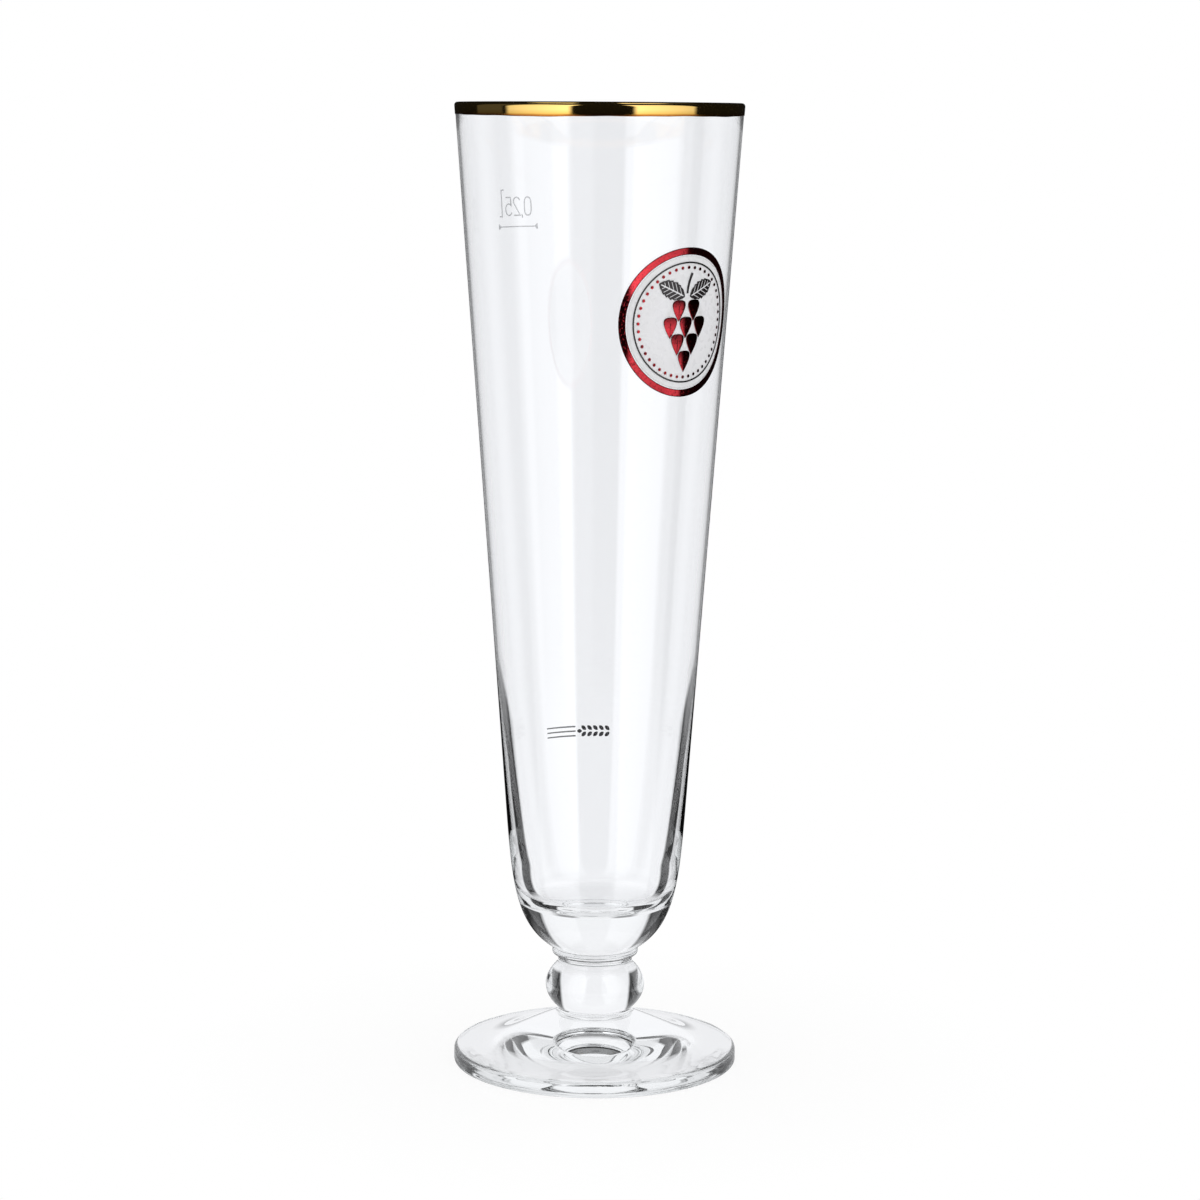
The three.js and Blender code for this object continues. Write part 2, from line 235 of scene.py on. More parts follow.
class StageSettings(PropertyGroup):
    """The camera and the small studio."""

    camera_back: length("Camera back", "Distance of the camera in front of the axis", 753.5 * MM)
    camera_height: length("Camera height", "Height of the camera", 223.25 * MM)
    camera_tilt: angle("Camera tilt", "How far the camera looks down", 8.784)
    camera_turn: angle("Camera turn", "How far the camera looks to the side", 0.051)
    camera_roll: angle("Camera roll", "How far the camera leans", 0.33)
    lens: FloatProperty(
        name="Lens", description="Focal length in millimetres", default=101.16, subtype="DISTANCE_CAMERA",
    )
    floor_radius: length("Floor radius", "Half the width of the floor", 1.5)
    floor_white: share("Floor white", "Paleness of the floor", 0.99)
    floor_lift: share("Floor lift", "How far the shadow by the foot is lifted for the camera", 0.88)
    shadow_reach: length("Shadow reach", "Where the floor has gone all white for the camera", 100 * MM)
    near_reach: length("Near reach", "How far the floor stays pale, seen through the glass", 60 * MM)
    mirror_reach: length("Mirror reach", "How much further that is where the glass mirrors it", 100 * MM)
    wall_level: length("Wall level", "Light that leaves the glass higher has crossed a thin wall", 90 * MM)
    # Painted shadow: the floor seen through the glass glows this much darker near the foot.
    painted_shadow_white: share("Near white", "Paleness of the floor under the foot, seen through it", 0.82)
    # Painted shade: the floor mirrored steeply in the glass glows this much darker.
    painted_mirror_shade: share("Near mirror", "Paleness of the floor mirrored by the glass", 0.55)
    sky: colour("Sweep", "Tint of the white sweep in the glass", (0.975, 0.98, 1.0))
    box_light: share("Box light", "Strength of the light boxes mirrored in the glass and the gold", 1.6)
    card_dark: share("Card", "How much of the light the dark cards take away", 0.97)
    card_start: angle("Card start", "Inner edge of the two cards behind the glass", 34.5)
    card_turned: angle("Card start, turned", "That edge, higher up, for light turned in the glass", 60)
    card_end: angle("Card end", "Outer edge of the two cards", 75)


class BeerGlass(PropertyGroup):
    """Everything that can be set on the glass."""

    glass: PointerProperty(type=GlassSizes)
    band: PointerProperty(type=BandSizes)
    badge: PointerProperty(type=BadgeSizes)
    barley: PointerProperty(type=BarleySizes)
    fill: PointerProperty(type=FillSizes)
    finish: PointerProperty(type=Finishes)
    stage: PointerProperty(type=StageSettings)


# Profiles: arrays of points of radius and height, or of two flat directions

def toward(point, distance, direction):
    """The point at a distance from another: point + distance * (cos, sin) of the direction."""
    return np.asarray(point) + distance * np.array((math.cos(direction), math.sin(direction)))


def bezier(start, start_handle, end_handle, end, steps):
    """Cubic curve: (1-t)^3 A + 3(1-t)^2 t B + 3(1-t) t^2 C + t^3 D, for t from 0 to 1."""
    t = np.linspace(0.0, 1.0, steps)[:, None]
    s = 1.0 - t
    ends = s ** 3 * np.asarray(start) + t ** 3 * np.asarray(end)
    return ends + 3 * s * s * t * np.asarray(start_handle) + 3 * s * t * t * np.asarray(end_handle)


def ellipse(centre, width, height, start, end, steps):
    """Arc of an ellipse: centre + (width cos a, height sin a), for a from start to end."""
    turn = np.linspace(start, end, steps)
    return np.stack([centre[0] + width * np.cos(turn), centre[1] + height * np.sin(turn)], axis=1)


def straight(start, end, steps):
    """Points spaced evenly on a line."""
    t = np.linspace(0.0, 1.0, steps)[:, None]
    return (1.0 - t) * np.asarray(start) + t * np.asarray(end)


def joined(*runs):
    """Runs of points end to end, without doubled points."""
    points = np.concatenate(runs)
    apart = np.linalg.norm(np.diff(points, axis=0), axis=1) > 1e-7
    return points[np.concatenate([[True], apart])]


def full_turn(steps):
    """Angles spaced evenly round a circle."""
    return np.linspace(0.0, 2 * math.pi, steps, endpoint=False)


def axes(direction):
    """The flat direction (cos, sin), and the one to its left."""
    along = np.array((math.cos(direction), math.sin(direction)))
    return along, np.array((-along[1], along[0]))


def around(radius, level, turn):
    """The points (r sin a, -r cos a, z) of a radius and a level at a turn a from the front."""
    return np.stack([radius * np.sin(turn), -radius * np.cos(turn), level + 0.0 * turn], axis=-1)


class Wall:
    """The straight cone of the bowl, outside and inside."""

    def __init__(self, size):
        self.shoulder_level = size.seat_level + size.shoulder_height
        self.shoulder_radius = size.shoulder_radius
        self.lip_radius = size.rim_wall / 2
        self.lip_level = size.rim_level - self.lip_radius
        self.taper = (size.rim_radius - size.shoulder_radius) / (self.lip_level - self.shoulder_level)
        self.taper_angle = math.atan(self.taper)
        self.inner_level = size.seat_level + size.inner_height
        self.inner_radius = self.outside(self.inner_level) - size.inner_wall
        self.inner_rim = size.rim_radius - size.rim_wall
        self.inner_taper = (self.inner_rim - self.inner_radius) / (self.lip_level - self.inner_level)
        self.floor_level = size.seat_level + size.floor_thickness

    def outside(self, level):
        """Radius of the outside at a level."""
        return self.shoulder_radius + self.taper * (level - self.shoulder_level)

    def inside(self, level):
        """Radius of the inside at a level."""
        return self.inner_rim - self.inner_taper * (self.lip_level - level)


def foot_profile(size):
    """An eased hollow, a resting ring, a rounded edge, then a flare up to the stem."""
    ring_radius = size.foot_radius - size.foot_bottom_round
    hollow_radius = ring_radius - size.foot_ring
    hollow = bezier(
        (0.0, size.foot_hollow),
        (hollow_radius * size.foot_hollow_crown, size.foot_hollow),
        (hollow_radius * size.foot_hollow_ease, 0.0),
        (hollow_radius, 0.0),
        steps=32,
    )
    low_round = size.foot_bottom_round
    low = ellipse((ring_radius, low_round), low_round, low_round, -math.pi / 2, 0.0, steps=8)
    top_round = size.foot_top_round
    centre = (size.foot_radius - top_round, size.foot_edge - top_round)
    top = ellipse(centre, top_round, top_round, 0.0, math.pi / 2 - size.foot_edge_slope, steps=12)
    flare_end = (size.neck_radius, size.foot_height)
    flare = bezier(
        top[-1],
        toward(top[-1], size.foot_edge_pull, math.pi - size.foot_edge_slope),
        toward(flare_end, size.foot_collar_pull, -size.foot_collar_slope),
        flare_end,
        steps=44,
    )
    return joined(hollow, low, top, flare)


def stem_profile(size):
    """Collar, an ellipse for the knop, neck, and a thin rolled disc under the bowl."""
    knop_turn = math.acos(size.neck_radius / size.knop_radius)
    knop_bottom = size.foot_height + size.collar
    knop_middle = knop_bottom + size.knop_height / 2
    knop_half = size.knop_height / 2 / math.sin(knop_turn)
    knop = ellipse((0.0, knop_middle), size.knop_radius, knop_half, -knop_turn, knop_turn, steps=48)
    merese_bottom = knop_bottom + size.knop_height + size.neck
    reach = size.seat_step + size.merese_lip
    seat_turn = math.acos(size.seat_step / reach)
    half = (size.seat_level - merese_bottom) / (1.0 + math.sin(seat_turn))
    merese_centre = (size.neck_radius, merese_bottom + half)
    merese = ellipse(merese_centre, reach, half, -math.pi / 2, seat_turn, steps=22)
    return joined(knop, merese)


def bowl_profile(size, wall):
    """Rounded base, cone, lip, and the inside down to the middle of the floor."""
    seat = (size.neck_radius + size.seat_step, size.seat_level)
    shoulder = (size.shoulder_radius, wall.shoulder_level)
    down = -math.pi / 2 - wall.taper_angle
    base = bezier(
        seat,
        toward(seat, size.seat_pull, size.seat_slope),
        toward(shoulder, size.shoulder_pull, down),
        shoulder,
        steps=60,
    )
    cone = straight(shoulder, (size.rim_radius, wall.lip_level), steps=26)
    lip_centre = (size.rim_radius - wall.lip_radius, wall.lip_level)
    lip = ellipse(lip_centre, wall.lip_radius, wall.lip_radius, 0.0, math.pi, steps=16)
    inner = (wall.inner_radius, wall.inner_level)
    inner_cone = straight((wall.inner_rim, wall.lip_level), inner, steps=22)
    corner = (size.shoulder_radius - size.corner_inset, wall.floor_level + size.corner_height)
    inner_down = -math.pi / 2 - math.atan(wall.inner_taper)
    inner_wall = bezier(
        inner,
        toward(inner, size.inner_pull, inner_down),
        toward(corner, size.corner_rise, math.pi / 2 - size.corner_lean),
        corner,
        steps=30,
    )
    floor = bezier(
        corner,
        toward(corner, size.corner_fall, -math.pi / 2 - size.corner_lean),
        (size.floor_pull, wall.floor_level),
        (0.0, wall.floor_level),
        steps=40,
    )
    return joined(base, cone, lip, inner_cone, inner_wall, floor)


# Meshes from grids of points

def grid_faces(rows, columns, wrap_rows):
    """Quads between neighbours of a grid whose columns run round and close on themselves."""
    last = rows if wrap_rows else rows - 1
    i = np.arange(last)[:, None]
    j = np.arange(columns)[None, :]
    below = i * columns
    above = (i + 1) % rows * columns
    beside = (j + 1) % columns
    return np.stack([below + j, below + beside, above + beside, above + j], axis=2).reshape(-1, 4)


def signed_volume(points, faces):
    """Sum of a . (b x c) / 6 over the fans of the faces; positive when they point outwards."""
    a = points[faces[:, 0]]
    fans = faces.shape[1] - 2
    total = 0.0
    for k in range(fans):
        b = points[faces[:, k + 1]]
        c = points[faces[:, k + 2]]
        total += float(np.einsum("ij,ij->i", a, np.cross(b, c)).sum()) / 6.0
    return total


class Surface:
    """Points and faces of one closed island, with a pattern place for each point."""

    def __init__(self, points, quads, triangles, pattern):
        self.points = points
        self.quads = quads
        self.triangles = triangles
        self.pattern = pattern
        volume = signed_volume(points, quads) + signed_volume(points, triangles)
        if volume < 0.0:
            self.quads = quads[:, ::-1]
            self.triangles = triangles[:, ::-1]


def closed_tube(grid, start, end, pattern=None):
    """A surface whose columns close on themselves and whose first and last rows close on a point each."""
    rows, columns, _ = grid.shape
    points = np.concatenate([grid.reshape(-1, 3), [start], [end]])
    j = np.arange(columns)
    beside = (j + 1) % columns
    top = (rows - 1) * columns
    first = np.full(columns, rows * columns)
    triangles = np.concatenate([
        np.stack([first, beside, j], axis=1),
        np.stack([first + 1, top + j, top + beside], axis=1),
    ])
    if pattern is None:
        pattern = np.zeros(grid.shape)
    places = np.concatenate([pattern.reshape(-1, 3), np.zeros((2, 3))])
    return Surface(points, grid_faces(rows, columns, False), triangles, places)


def closed_ring(grid, pattern):
    """A surface that closes on itself both ways."""
    rows, columns, _ = grid.shape
    none = np.zeros((0, 3), dtype=int)
    return Surface(grid.reshape(-1, 3), grid_faces(rows, columns, True), none, pattern.reshape(-1, 3))


def add_piece(name, surfaces, material, nodes=()):
    """One object from closed islands, riding on the root body, with the attribute 'pattern' on its points.

    It takes the place of the solids' nodes that are named.
    """
    offset = 0
    points = []
    faces = []
    places = []
    for surface in surfaces:
        points.append(surface.points)
        places.append(surface.pattern)
        faces += (surface.quads + offset).tolist()
        faces += (surface.triangles + offset).tolist()
        offset += len(surface.points)
    mesh = bpy.data.meshes.new(name)
    mesh.from_pydata(np.concatenate(points).tolist(), [], faces)
    attribute = mesh.attributes.new("pattern", "FLOAT_VECTOR", "POINT")
    attribute.data.foreach_set("vector", np.concatenate(places).astype(np.float32).ravel())
    mesh.shade_smooth()
    if mesh.validate():
        raise RuntimeError(f"{name} has faulty faces")
    mesh.materials.append(material)
    piece = bpy.data.objects.new(name, mesh)
    bpy.context.scene.collection.objects.link(piece)
    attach(piece, "root")
    if nodes:
        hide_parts(*nodes)


# Films that lie on the cone

# Sections of a film. A patch goes out under the film, round its edge and back over its crowned top, in
# shares of the way to the outline. A ring and a ribbon go over it from edge to edge, in shares of the width.
# Heights are shares of the film's thickness.
PATCH_OUT = np.array((0.35, 0.7, 0.93, 1.0, 1.0, 0.97, 0.9, 0.7, 0.45, 0.2))
PATCH_HEIGHT = np.array((0.0, 0.0, 0.0, 0.12, 0.6, 0.85, 0.93, 0.98, 1.0, 1.0))
RING_SIDE = np.array((-1.0, -1.0, -0.97, -0.92, -0.86, 0.0, 0.86, 0.92, 0.97, 1.0, 1.0)) / 2
RING_HEIGHT = np.array((0.0, 0.6, 0.9, 1.0, 1.0, 1.0, 1.0, 1.0, 0.9, 0.6, 0.0))
RIBBON_SIDE = np.array((-1.0, -1.0, -0.9, 0.0, 0.9, 1.0, 1.0)) / 2
RIBBON_HEIGHT = np.array((0.0, 0.6, 0.95, 1.0, 0.95, 0.6, 0.0))
SHARPEST_MITRE = 0.45


class Print:
    """A place on the wall: flat x runs round it to the right seen from outside, flat y runs up."""

    def __init__(self, wall, band, heading, level, layer=0):
        self.wall = wall
        self.heading = heading
        self.level = level
        self.lift = band.film_gap + layer * (band.film + band.film_gap)
        self.film = band.film

    def place(self, x, y, height):
        """Flat (x, y) to heading + x/R and level + y cos(taper), at a share of the film's thickness."""
        level = self.level + y * math.cos(self.wall.taper_angle)
        radius = self.wall.outside(level) + self.lift + self.film * height
        turn = self.heading + x / self.wall.outside(self.level)
        return around(radius, level, turn)

    def patch(self, outline, centre, along=0.0):
        """A film with a crowned top over an outline: centre + s (outline - centre), out below and back above.

        The pattern holds the flat place along and across the direction 'along', and the share s.
        """
        middle = np.asarray(centre, dtype=float)
        every = np.zeros(len(outline))
        flat = middle + PATCH_OUT[:, None, None] * (outline - middle)
        grid = self.place(flat[..., 0], flat[..., 1], PATCH_HEIGHT[:, None] + every)
        start = self.place(middle[0], middle[1], 0.0)
        end = self.place(middle[0], middle[1], 1.0)
        axis, side = axes(along)
        away = flat - middle
        pattern = np.stack([away @ axis / MM, away @ side / MM, PATCH_OUT[:, None] + every], axis=2)
        return closed_tube(grid, start, end, pattern)

    def ring(self, path, width):
        """A band of a width along a closed flat path: path + width s normal, with a crowned top.

        The pattern holds the place along the path and across the band.
        """
        step = np.roll(path, -1, axis=0) - np.roll(path, 1, axis=0)
        normal = np.stack([step[:, 1], -step[:, 0]], axis=1) / np.linalg.norm(step, axis=1)[:, None]
        every = np.zeros((len(path), 1))
        flat = path[:, None, :] + width * RING_SIDE[None, :, None] * normal[:, None, :]
        grid = self.place(flat[..., 0], flat[..., 1], RING_HEIGHT + every)
        along = np.concatenate([[0.0], np.cumsum(np.linalg.norm(np.diff(path, axis=0), axis=1))])
        across = width * RING_SIDE + every
        pattern = np.stack([along[:, None] + 0.0 * across, across, 0.0 * across], axis=2) / MM
        return closed_ring(grid, pattern)

    def ribbon(self, path, width):
        """A band along an open flat path, of one width or one for each point, mitred at its corners."""
        path = np.asarray(path, dtype=float)
        widths = np.broadcast_to(width, len(path))
        step = np.diff(path, axis=0)
        step = step / np.linalg.norm(step, axis=1)[:, None]
        before = np.concatenate([step[:1], step])
        after = np.concatenate([step, step[-1:]])
        mean = before + after
        mean = mean / np.linalg.norm(mean, axis=1)[:, None]
        mitre = 1.0 / np.maximum(np.einsum("ij,ij->i", mean, after), SHARPEST_MITRE)
        normal = np.stack([mean[:, 1], -mean[:, 0]], axis=1) * mitre[:, None]
        flat = path[:, None, :] + (widths[:, None] * RIBBON_SIDE)[:, :, None] * normal[:, None, :]
        grid = self.place(flat[..., 0], flat[..., 1], RIBBON_HEIGHT + np.zeros((len(path), 1)))
        return closed_tube(grid, grid[0].mean(axis=0), grid[-1].mean(axis=0))


def circle(radius, steps):
    """Points of a circle about the middle."""
    turn = full_turn(steps)
    return radius * np.stack([np.cos(turn), np.sin(turn)], axis=1)


EVEN_SWELL = ((1 / 4, 2 / 3), (3 / 4, 2 / 3))
SCALE_SWELL = ((-0.03, 0.88), (0.55, 0.40))
LEAF_STEPS = 33


def leaf_outline(base, direction, long, wide, swell=EVEN_SWELL, teeth=0, depth=0.0):
    """A pointed leaf: a cubic curve on each side from base to tip, and a saw edge of some teeth.

    The swell gives each curve's two handles, along as a share of the length and across as one of the width.
    """
    axis, side = axes(direction)
    (low_along, low_across), (high_along, high_across) = swell
    t = np.linspace(0.0, 1.0, LEAF_STEPS)
    low = 3 * (1 - t) ** 2 * t
    high = 3 * (1 - t) * t ** 2
    along = (low * low_along + high * high_along + t ** 3) * long
    saw = 1.0 - depth * ((t * teeth) % 1.0) * np.sin(math.pi * t)
    across = (low * low_across + high * high_across) * wide * saw
    spine = np.asarray(base, dtype=float) + along[:, None] * axis
    right = spine - across[:, None] * side
    left = spine + across[:, None] * side
    return np.concatenate([right, left[::-1][1:-1]])


# Shader maths

def reckoned(operation, swapped=False):
    """An operator on signals that adds a Math node, with its two values swapped for the reflected form."""
    def apply(self, other=0.0):
        first, second = (other, self) if swapped else (self, other)
        return self.math(operation, first, second)
    return apply


class Signal:
    """A number on a node's socket; arithmetic on it adds Math nodes.

    Over is 1 where this is greater and else 0. Most is the greater of the two, and least the smaller.
    """

    def __init__(self, bench, socket):
        self.bench = bench
        self.socket = socket

    def math(self, operation, first, second=0.0, clamp=False):
        """A Math node on one or two values."""
        sockets = {0: first, 1: second}
        node = self.bench.add("ShaderNodeMath", {"operation": operation, "use_clamp": clamp}, sockets)
        return Signal(self.bench, node.outputs[0])

    __add__ = reckoned("ADD")
    __radd__ = reckoned("ADD", swapped=True)
    __sub__ = reckoned("SUBTRACT")
    __rsub__ = reckoned("SUBTRACT", swapped=True)
    __mul__ = reckoned("MULTIPLY")
    __rmul__ = reckoned("MULTIPLY", swapped=True)
    __truediv__ = reckoned("DIVIDE")
    __mod__ = reckoned("FLOORED_MODULO")
    __abs__ = reckoned("ABSOLUTE")
    over = reckoned("GREATER_THAN")
    most = reckoned("MAXIMUM")
    least = reckoned("MINIMUM")

    def reached(self, number):
        """1 where a count has reached a number, else 0."""
        return self.over(number - 0.5)

    def clamped(self):
        """This, kept between 0 and 1."""
        return self.math("ADD", self, 0.0, clamp=True)

    def rise(self, low, high):
        """0 below low, 1 above high, straight between them; low and high may be swapped."""
        return ((self - low) / (high - low)).clamped()

    def between(self, first, last):
        """1 between two soft edges, each given as where it is gone and where it is full."""
        return self.rise(*first) * self.rise(*last)


class Bench:
    """Adds nodes to one tree."""

    def __init__(self, tree):
        self.tree = tree
        tree.nodes.clear()

    def add(self, kind, settings=None, sockets=None):
        """A node of a type, with its settings made first, then the values or links of its sockets."""
        node = self.tree.nodes.new(kind)
        for key, value in (settings or {}).items():
            setattr(node, key, value)
        for key, value in (sockets or {}).items():
            self.plug(node.inputs[key], value)
        return node

    def plug(self, socket, value):
        """A link or a plain value on a socket."""
        if isinstance(value, Signal):
            self.tree.links.new(value.socket, socket)
        elif isinstance(value, bpy.types.NodeSocket):
            self.tree.links.new(value, socket)
        else:
            socket.default_value = value

    def signal(self, node, output):
        """A node's output as a number to reckon with."""
        return Signal(self, node.outputs[output])

    def split(self, vector):
        """The three parts of a vector."""
        parts = self.add("ShaderNodeSeparateXYZ", None, {"Vector": vector})
        return [self.signal(parts, k) for k in range(3)]

    def blend(self, factor, first, second):
        """A colour between two, by a factor."""
        node = self.add("ShaderNodeMix", {"data_type": "RGBA"}, {"Factor": factor, 6: first, 7: second})
        return node.outputs[2]

    def mix(self, factor, first, second):
        """A shader between two, by a factor."""
        return self.add("ShaderNodeMixShader", None, {0: factor, 1: first, 2: second}).outputs[0]

    def glow(self, shade, strength):
        """A surface that shows a colour whatever the light."""
        sockets = {"Color": solid(shade), "Strength": strength}
        return self.add("ShaderNodeEmission", None, sockets).outputs[0]

    def rays(self, *names):
        """What is known of the light's path, by the names of the Light Path node's outputs."""
        node = self.add("ShaderNodeLightPath")
        return [self.signal(node, name) for name in names]

    def noise(self, scale, detail=2.0, stretch=(1.0, 1.0, 1.0)):
        """Noise on Object coordinates, in cells per metre, stretched along the axes."""
        place = self.add("ShaderNodeTexCoord")
        mapping = self.add("ShaderNodeMapping", None, {"Vector": place.outputs["Object"], "Scale": stretch})
        sockets = {"Vector": mapping.outputs[0], "Scale": scale, "Detail": detail}
        return self.signal(self.add("ShaderNodeTexNoise", None, sockets), 0)

    def pattern(self):
        """The three parts of the piece's own pattern place."""
        return self.split(self.add("ShaderNodeAttribute", {"attribute_name": "pattern"}).outputs["Vector"])

    def bump(self, height, depth, strength):
        """A normal from a height, in metres of depth."""
        sockets = {"Height": height, "Distance": depth, "Strength": strength}
        return self.add("ShaderNodeBump", None, sockets).outputs[0]


def solid(shade):
    """A colour with full alpha."""
    return (shade[0], shade[1], shade[2], 1.0)


def new_material(name):
    """An empty node material and its bench."""
    material = bpy.data.materials.new(name)
    material.use_nodes = True
    return material, Bench(material.node_tree)


def finish_material(bench, sockets, volume=None):
    """A Principled surface, and a volume where one is given, on the material's output."""
    surface = bench.add("ShaderNodeBsdfPrincipled", None, sockets)
    output = bench.add("ShaderNodeOutputMaterial", None, {"Surface": surface.outputs[0]})
    if volume is not None:
        bench.plug(output.inputs["Volume"], volume)


def clear_glass(finish):
    """Fire-polished glass: long soft waves, drawn out along the axis, and a tint where it is thick."""
    material, bench = new_material("clear_glass")
    waves = bench.noise(scale=38.0, detail=1.0, stretch=(1.0, 1.0, 0.35))
    depth_tint = {"Color": solid(finish.glass_depth), "Density": 5.0}
    finish_material(bench, {
        "Base Color": solid(finish.glass),
        "Roughness": 0.0,
        "IOR": 1.5,
        "Transmission Weight": 1.0,
        "Normal": bench.bump(waves, depth=0.02 * MM, strength=0.6),
    }, bench.add("ShaderNodeVolumeAbsorption", None, depth_tint).outputs[0])
    return material


def rim_gold(finish):
    """Bright fired gold, deepened downwards by painted shade, that thins out to a red-brown line at its
    brushed lower edge.

    The pattern's first part is the height over that edge, in millimetres.
    """
    material, bench = new_material("rim_gold")
    height, _, _ = bench.pattern()
    grain = bench.noise(scale=900.0, detail=4.0, stretch=(1.0, 1.0, 2.5))
    cloud = bench.noise(scale=120.0)
    thin = height.rise(0.62, 0.25) * (0.75 + 0.25 * grain)
    # Painted shade: the gold darkens towards its lower edge, with random clouds over it.
    painted_shade = height.rise(1.4, 0.3) * 0.8 + cloud * 0.2
    tone = bench.blend(painted_shade, solid(finish.gold), solid(finish.gold_painted_shade))
    finish_material(bench, {
        "Base Color": bench.blend(thin, tone, solid(finish.gold_thin)),
        "Metallic": 1.0,
        "Roughness": 0.03 + grain * 0.06 + thin * 0.15,
        "Normal": bench.bump(grain, depth=0.006 * MM, strength=0.5),
    })
    return material


def red_lustre(finish):
    """Metallic red print with a dark grain. A band has dark hairlines; a scale has painted shade towards its
    base, where the scale above overlaps it, and darkens to its edge.

    The pattern is the place along and across, in millimetres, and on a scale the share of the way out.
    """
    material, bench = new_material("red_lustre")
    grain = bench.noise(scale=2600.0)
    cloud = bench.noise(scale=95.0)
    along, across, out = bench.pattern()
    on_scale = out.over(0.001)
    dark = (grain.rise(0.50, 0.72) * 0.45 + cloud.rise(0.48, 0.62) * 0.35).clamped()
    # Painted shade: each scale is darker towards its base, where the scale above overlaps it.
    base = along.rise(0.6, -1.7) * 0.8
    rib = abs(across).rise(0.14, 0.07) * along.over(-0.6) * 0.6
    edge = out.rise(0.86, 0.99) * 0.5
    hairline = abs(across).rise(0.60, 0.68) * (1.0 - on_scale)
    shade = (dark + (base + rib + edge) * on_scale + hairline).clamped()
    specks = grain.rise(0.60, 0.72)
    finish_material(bench, {
        "Base Color": bench.blend(shade, solid(finish.lustre), solid(finish.lustre_dark)),
        "Metallic": 1.0,
        "Roughness": 0.04 + grain * 0.06,
        "Normal": bench.bump(specks, depth=0.02 * MM, strength=0.6),
    })
    return material


def enamel(name, shade, speck, gloss, veins=None, cover=1.0, shine=0.5, milk=0.0):
    """Fired enamel: fine specks of so many times its shade, a slight orange peel, and veins on the leaves.

    A cover under 1 lets the glass show through a faint print. Milk lets light into the film, so that its back
    is lit too.
    """
    material, bench = new_material(name)
    grain = bench.noise(scale=3200.0, detail=3.0)
    skin = bench.noise(scale=700.0)
    mottle = grain.rise(0.50, 0.78) * 0.6 + skin.rise(0.4, 0.8) * 0.4
    tone = bench.blend(mottle, solid(shade), solid([speck * part for part in shade]))
    if veins is not None:
        along, across, out = bench.pattern()
        midrib = abs(across).rise(0.16, 0.09)
        side_veins = ((along + 20.0 - abs(across) * 0.9) % 1.15).rise(0.20, 0.12)
        on_leaf = out.rise(0.90, 0.82) * out.over(0.001)
        tone = bench.blend((midrib.most(side_veins) * on_leaf).clamped(), tone, solid(veins))
    finish_material(bench, {
        "Base Color": tone,
        "Roughness": gloss + skin * 0.12,
        "Specular IOR Level": shine,
        "Subsurface Weight": milk,
        "Subsurface Radius": (1.0, 1.0, 1.0),
        "Subsurface Scale": 0.2 * MM,
        "Alpha": cover,
        "Normal": bench.bump(skin, depth=0.012 * MM, strength=0.5),
    })
    return material


# Operators

def settings():
    """The glass's own settings on the scene."""
    return bpy.context.scene.beer_glass


class BEERGLASS_OT_body(Operator):
    """Turn the fused glass body: foot, stem and bowl in one closed skin"""

    bl_idname = "beer_glass.body"
    bl_label = "Glass body"

    def execute(self, context):
        """Point (r, z) of the profile at turn a is (r sin a, -r cos a, z).

        The foot's top has a soft ripple, a sum of two sines, that fades at its edge and at the stem.
        """
        size = settings().glass
        profile = joined(foot_profile(size), stem_profile(size), bowl_profile(size, Wall(size)))
        turn = full_turn(size.turns)[None, :]
        radius = profile[1:-1, 0][:, None]
        level = profile[1:-1, 1][:, None]
        on_foot = (level > size.foot_edge) & (level < size.foot_height) & (radius > size.neck_radius)
        spread = (radius - size.neck_radius) * (size.foot_radius - radius)
        spread = np.clip(spread / (0.25 * (size.foot_radius - size.neck_radius) ** 2), 0.0, 1.0)
        wave = np.sin(3 * turn + radius * 150) + 0.7 * np.sin(5 * turn + 2.1 - radius * 220)
        ripple = size.foot_ripple * np.where(on_foot, spread, 0.0) * wave
        start = (0.0, 0.0, profile[0, 1])
        end = (0.0, 0.0, profile[-1, 1])
        body = closed_tube(around(radius, level + ripple, turn), start, end)
        glass = clear_glass(settings().finish)
        add_piece("glass_body", [body], glass, ("foot", "stem", "bowl"))
        return {"FINISHED"}


class BEERGLASS_OT_gold_band(Operator):
    """Brush the gold band over the lip"""

    bl_idname = "beer_glass.gold_band"
    bl_label = "Gold band"

    def execute(self, context):
        """A closed section, up outside, over the lip and back, carried round; its lower edge wavers."""
        size = settings().glass
        band = settings().band
        wall = Wall(size)
        near = band.film_gap
        far = band.film_gap + band.film
        bottom = size.rim_level - band.height
        inside = wall.lip_level - band.inside
        centre = (size.rim_radius - wall.lip_radius, wall.lip_level)
        outer = wall.lip_radius + far
        inner = wall.lip_radius + near
        lip = wall.lip_level
        section = joined(
            straight((wall.outside(bottom) + far, bottom), (size.rim_radius + far, lip), steps=14),
            ellipse(centre, outer, outer, 0.0, math.pi, steps=16),
            straight((wall.inner_rim - far, lip), (wall.inside(inside) - far, inside), steps=5),
            straight((wall.inside(inside) - near, inside), (wall.inner_rim - near, lip), steps=5),
            ellipse(centre, inner, inner, math.pi, 0.0, steps=16),
            straight((size.rim_radius + near, lip), (wall.outside(bottom) + near, bottom), steps=14),
        )
        turn = full_turn(size.turns)[None, :]
        radius = section[:, 0][:, None]
        level = section[:, 1][:, None]
        is_outside = radius > centre[0]
        depth = np.clip((lip - level) / (lip - bottom), 0.0, 1.0)
        wave = np.sin(4 * turn + 0.4) + 0.6 * np.sin(9 * turn + 1.9) + 0.35 * np.sin(23 * turn)
        shift = band.waver * np.where(is_outside, depth, 0.0) ** 2 * wave
        grid = around(radius + wall.taper * shift, level + shift, turn)
        height = (level - bottom + 0.0 * turn) / MM
        over_edge = band.height / MM
        pattern = np.stack([np.where(is_outside, height, over_edge), height, height], axis=2)
        gold = rim_gold(settings().finish)
        add_piece("gold_band", [closed_ring(grid, pattern)], gold, ("rim_gold_band",))
        return {"FINISHED"}


